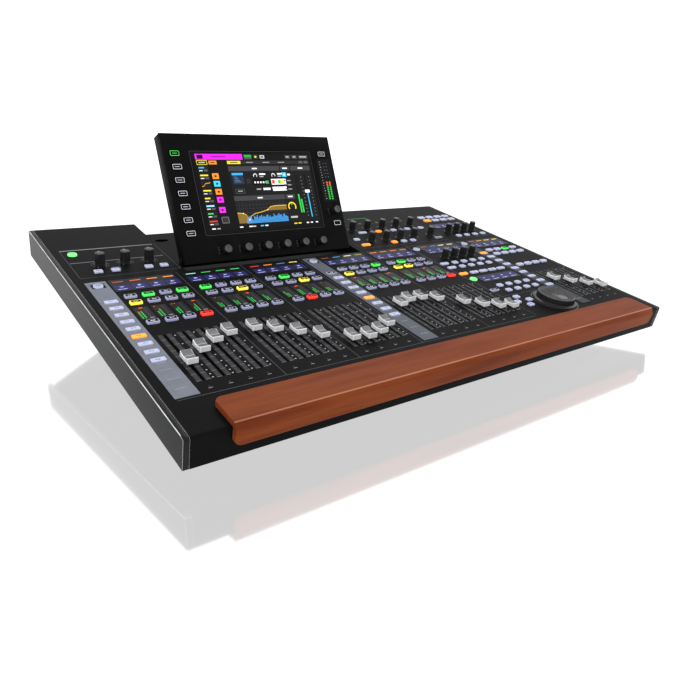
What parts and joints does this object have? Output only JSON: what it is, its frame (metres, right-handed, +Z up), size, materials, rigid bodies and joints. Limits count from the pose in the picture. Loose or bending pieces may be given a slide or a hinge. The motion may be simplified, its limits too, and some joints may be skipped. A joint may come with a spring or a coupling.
{
  "type": "mixing console",
  "caption": "Sloping audio mixing desk with motor faders, key rows, knobs, a jog wheel, a wooden armrest and a tilting touch screen with encoders.",
  "frame": {"origin": "centre of the bounding box's footprint, on the table", "axes": "+X to the operator's right along the width, +Y towards the rear, +Z up"},
  "size_m": [0.874, 0.596, 0.3078],
  "materials": {
    "powder_coat": "black fine-textured powder coat",
    "cheek_coat": "satin black",
    "zinc_steel": "zinc-plated",
    "cherry_wood": "satin lacquer",
    "fader_cap": "silver-grey satin",
    "key_silicone": "translucent, backlit",
    "knob_rubber": "soft-touch",
    "jog_plastic": "satin",
    "screen_glass": "glossy, lit from behind",
    "foot_rubber": "matt",
    "circuit_board": "lacquered"
  },
  "bodies": {
    "console": {"bottom_tub": "powder_coat", "rear_panel": "powder_coat", "front_foot": "foot_rubber", "rear_foot": "foot_rubber", "main_board": "circuit_board", "power_supply": "zinc_steel", "top_panel": "powder_coat", "left_cheek": "cheek_coat", "right_cheek": "cheek_coat", "armrest": "cherry_wood", "display_well": "powder_coat", "fader_frame": "zinc_steel", "processing_encoders": "knob_rubber", "assign_encoders": "knob_rubber", "hinge_bracket": "zinc_steel"},
    "display": {"display_bezel": "powder_coat", "display_glass": "screen_glass", "display_back": "powder_coat"},
    "fader_01": {"fader_01": "fader_cap"},
    "fader_02": {"fader_02": "fader_cap"},
    "fader_03": {"fader_03": "fader_cap"},
    "fader_04": {"fader_04": "fader_cap"},
    "fader_05": {"fader_05": "fader_cap"},
    "fader_06": {"fader_06": "fader_cap"},
    "fader_07": {"fader_07": "fader_cap"},
    "fader_08": {"fader_08": "fader_cap"},
    "fader_09": {"fader_09": "fader_cap"},
    "fader_10": {"fader_10": "fader_cap"},
    "fader_11": {"fader_11": "fader_cap"},
    "fader_12": {"fader_12": "fader_cap"},
    "fader_13": {"fader_13": "fader_cap"},
    "fader_14": {"fader_14": "fader_cap"},
    "fader_15": {"fader_15": "fader_cap"},
    "fader_16": {"fader_16": "fader_cap"},
    "fader_17": {"fader_17": "fader_cap"},
    "fader_18": {"fader_18": "fader_cap"},
    "fader_19": {"fader_19": "fader_cap"},
    "fader_20": {"fader_20": "fader_cap"},
    "fader_21": {"fader_21": "fader_cap"},
    "fader_22": {"fader_22": "fader_cap"},
    "fader_23": {"fader_23": "fader_cap"},
    "fader_24": {"fader_24": "fader_cap"},
    "monitor_knob_1": {"monitor_knob_1": "knob_rubber"},
    "monitor_knob_2": {"monitor_knob_2": "knob_rubber"},
    "monitor_knob_3": {"monitor_knob_3": "knob_rubber"},
    "custom_knob_1": {"custom_knob_1": "knob_rubber"},
    "custom_knob_2": {"custom_knob_2": "knob_rubber"},
    "custom_knob_3": {"custom_knob_3": "knob_rubber"},
    "custom_knob_4": {"custom_knob_4": "knob_rubber"},
    "screen_encoder_1": {"screen_encoder_1": "knob_rubber"},
    "screen_encoder_2": {"screen_encoder_2": "knob_rubber"},
    "screen_encoder_3": {"screen_encoder_3": "knob_rubber"},
    "screen_encoder_4": {"screen_encoder_4": "knob_rubber"},
    "screen_encoder_5": {"screen_encoder_5": "knob_rubber"},
    "screen_encoder_6": {"screen_encoder_6": "knob_rubber"},
    "level_encoder": {"level_encoder": "knob_rubber"},
    "jog_wheel": {"jog_wheel": "jog_plastic"},
    "channel_keys": {"channel_keys": "key_silicone"},
    "control_keys": {"control_keys": "key_silicone"},
    "display_keys": {"display_keys": "key_silicone"}
  },
  "joints": [
    {"name": "display_tilt", "type": "hinge", "parent": "console", "child": "display", "pos_m": [0, 0.11147, 0.12541], "axis": [1, 0, 0], "range_deg": [-45, 8]},
    {"name": "fader_01_slide", "type": "slide", "parent": "console", "child": "fader_01", "axis": [0, 0.9882, 0.153], "range_m": [-0.0334, 0.0666]},
    {"name": "fader_02_slide", "type": "slide", "parent": "console", "child": "fader_02", "axis": [0, 0.9882, 0.153], "range_m": [-0.0529, 0.0471]},
    {"name": "fader_03_slide", "type": "slide", "parent": "console", "child": "fader_03", "axis": [0, 0.9882, 0.153], "range_m": [-0.0689, 0.0311]},
    {"name": "fader_04_slide", "type": "slide", "parent": "console", "child": "fader_04", "axis": [0, 0.9882, 0.153], "range_m": [-0.0789, 0.0211]},
    {"name": "fader_05_slide", "type": "slide", "parent": "console", "child": "fader_05", "axis": [0, 0.9882, 0.153], "range_m": [-0.0789, 0.0211]},
    {"name": "fader_06_slide", "type": "slide", "parent": "console", "child": "fader_06", "axis": [0, 0.9882, 0.153], "range_m": [-0.0669, 0.0331]},
    {"name": "fader_07_slide", "type": "slide", "parent": "console", "child": "fader_07", "axis": [0, 0.9882, 0.153], "range_m": [-0.0499, 0.0501]},
    {"name": "fader_08_slide", "type": "slide", "parent": "console", "child": "fader_08", "axis": [0, 0.9882, 0.153], "range_m": [-0.0319, 0.0681]},
    {"name": "fader_09_slide", "type": "slide", "parent": "console", "child": "fader_09", "axis": [0, 0.9882, 0.153], "range_m": [-0.0119, 0.0881]},
    {"name": "fader_10_slide", "type": "slide", "parent": "console", "child": "fader_10", "axis": [0, 0.9882, 0.153], "range_m": [-0.0079, 0.0921]},
    {"name": "fader_11_slide", "type": "slide", "parent": "console", "child": "fader_11", "axis": [0, 0.9882, 0.153], "range_m": [-0.0139, 0.0861]},
    {"name": "fader_12_slide", "type": "slide", "parent": "console", "child": "fader_12", "axis": [0, 0.9882, 0.153], "range_m": [-0.0279, 0.0721]},
    {"name": "fader_13_slide", "type": "slide", "parent": "console", "child": "fader_13", "axis": [0, 0.9882, 0.153], "range_m": [-0.0719, 0.0281]},
    {"name": "fader_14_slide", "type": "slide", "parent": "console", "child": "fader_14", "axis": [0, 0.9882, 0.153], "range_m": [-0.0809, 0.0191]},
    {"name": "fader_15_slide", "type": "slide", "parent": "console", "child": "fader_15", "axis": [0, 0.9882, 0.153], "range_m": [-0.0799, 0.0201]},
    {"name": "fader_16_slide", "type": "slide", "parent": "console", "child": "fader_16", "axis": [0, 0.9882, 0.153], "range_m": [-0.0679, 0.0321]},
    {"name": "fader_17_slide", "type": "slide", "parent": "console", "child": "fader_17", "axis": [0, 0.9882, 0.153], "range_m": [-0.0439, 0.0561]},
    {"name": "fader_18_slide", "type": "slide", "parent": "console", "child": "fader_18", "axis": [0, 0.9882, 0.153], "range_m": [-0.0259, 0.0741]},
    {"name": "fader_19_slide", "type": "slide", "parent": "console", "child": "fader_19", "axis": [0, 0.9882, 0.153], "range_m": [-0.0129, 0.0871]},
    {"name": "fader_20_slide", "type": "slide", "parent": "console", "child": "fader_20", "axis": [0, 0.9882, 0.153], "range_m": [-0.0069, 0.0931]},
    {"name": "fader_21_slide", "type": "slide", "parent": "console", "child": "fader_21", "axis": [0, 0.9882, 0.153], "range_m": [-0.0639, 0.0361]},
    {"name": "fader_22_slide", "type": "slide", "parent": "console", "child": "fader_22", "axis": [0, 0.9882, 0.153], "range_m": [-0.0439, 0.0561]},
    {"name": "fader_23_slide", "type": "slide", "parent": "console", "child": "fader_23", "axis": [0, 0.9882, 0.153], "range_m": [-0.0259, 0.0741]},
    {"name": "fader_24_slide", "type": "slide", "parent": "console", "child": "fader_24", "axis": [0, 0.9882, 0.153], "range_m": [-0.0119, 0.0881]},
    {"name": "monitor_knob_1_turn", "type": "hinge", "parent": "console", "child": "monitor_knob_1", "pos_m": [-0.378, 0.13275, 0.12798], "axis": [0, -0.153, 0.9882], "range_deg": [-150, 150]},
    {"name": "monitor_knob_2_turn", "type": "hinge", "parent": "console", "child": "monitor_knob_2", "pos_m": [-0.342, 0.13275, 0.12798], "axis": [0, -0.153, 0.9882], "range_deg": [-150, 150]},
    {"name": "monitor_knob_3_turn", "type": "hinge", "parent": "console", "child": "monitor_knob_3", "pos_m": [-0.306, 0.13275, 0.12798], "axis": [0, -0.153, 0.9882], "range_deg": [-150, 150]},
    {"name": "custom_knob_1_turn", "type": "hinge", "parent": "console", "child": "custom_knob_1", "pos_m": [0.205, 0.01021, 0.10901], "axis": [0, -0.153, 0.9882], "continuous": true},
    {"name": "custom_knob_2_turn", "type": "hinge", "parent": "console", "child": "custom_knob_2", "pos_m": [0.229, 0.01021, 0.10901], "axis": [0, -0.153, 0.9882], "continuous": true},
    {"name": "custom_knob_3_turn", "type": "hinge", "parent": "console", "child": "custom_knob_3", "pos_m": [0.253, 0.01021, 0.10901], "axis": [0, -0.153, 0.9882], "continuous": true},
    {"name": "custom_knob_4_turn", "type": "hinge", "parent": "console", "child": "custom_knob_4", "pos_m": [0.277, 0.01021, 0.10901], "axis": [0, -0.153, 0.9882], "continuous": true},
    {"name": "jog_wheel_turn", "type": "hinge", "parent": "console", "child": "jog_wheel", "pos_m": [0.253, -0.20128, 0.07627], "axis": [0, -0.153, 0.9882], "continuous": true},
    {"name": "screen_encoder_1_turn", "type": "hinge", "parent": "display", "child": "screen_encoder_1", "pos_m": [-0.193, 0.10513, 0.13813], "axis": [0, -0.9121, 0.4099], "continuous": true},
    {"name": "screen_encoder_2_turn", "type": "hinge", "parent": "display", "child": "screen_encoder_2", "pos_m": [-0.1566, 0.10513, 0.13813], "axis": [0, -0.9121, 0.4099], "continuous": true},
    {"name": "screen_encoder_3_turn", "type": "hinge", "parent": "display", "child": "screen_encoder_3", "pos_m": [-0.1202, 0.10513, 0.13813], "axis": [0, -0.9121, 0.4099], "continuous": true},
    {"name": "screen_encoder_4_turn", "type": "hinge", "parent": "display", "child": "screen_encoder_4", "pos_m": [-0.0838, 0.10513, 0.13813], "axis": [0, -0.9121, 0.4099], "continuous": true},
    {"name": "screen_encoder_5_turn", "type": "hinge", "parent": "display", "child": "screen_encoder_5", "pos_m": [-0.0474, 0.10513, 0.13813], "axis": [0, -0.9121, 0.4099], "continuous": true},
    {"name": "screen_encoder_6_turn", "type": "hinge", "parent": "display", "child": "screen_encoder_6", "pos_m": [-0.011, 0.10513, 0.13813], "axis": [0, -0.9121, 0.4099], "continuous": true},
    {"name": "level_encoder_turn", "type": "hinge", "parent": "display", "child": "level_encoder", "pos_m": [0.031, 0.12644, 0.18556], "axis": [0, -0.9121, 0.4099], "continuous": true},
    {"name": "channel_keys_press", "type": "slide", "parent": "console", "child": "channel_keys", "axis": [0, -0.153, 0.9882], "range_m": [-0.001, 0], "stiffness_N_per_m": 3000, "springref_m": 0.003},
    {"name": "control_keys_press", "type": "slide", "parent": "console", "child": "control_keys", "axis": [0, -0.153, 0.9882], "range_m": [-0.001, 0], "stiffness_N_per_m": 3000, "springref_m": 0.003},
    {"name": "display_keys_press", "type": "slide", "parent": "display", "child": "display_keys", "axis": [0, -0.9121, 0.4099], "range_m": [-0.001, 0], "stiffness_N_per_m": 600, "springref_m": 0.003}
  ]
}
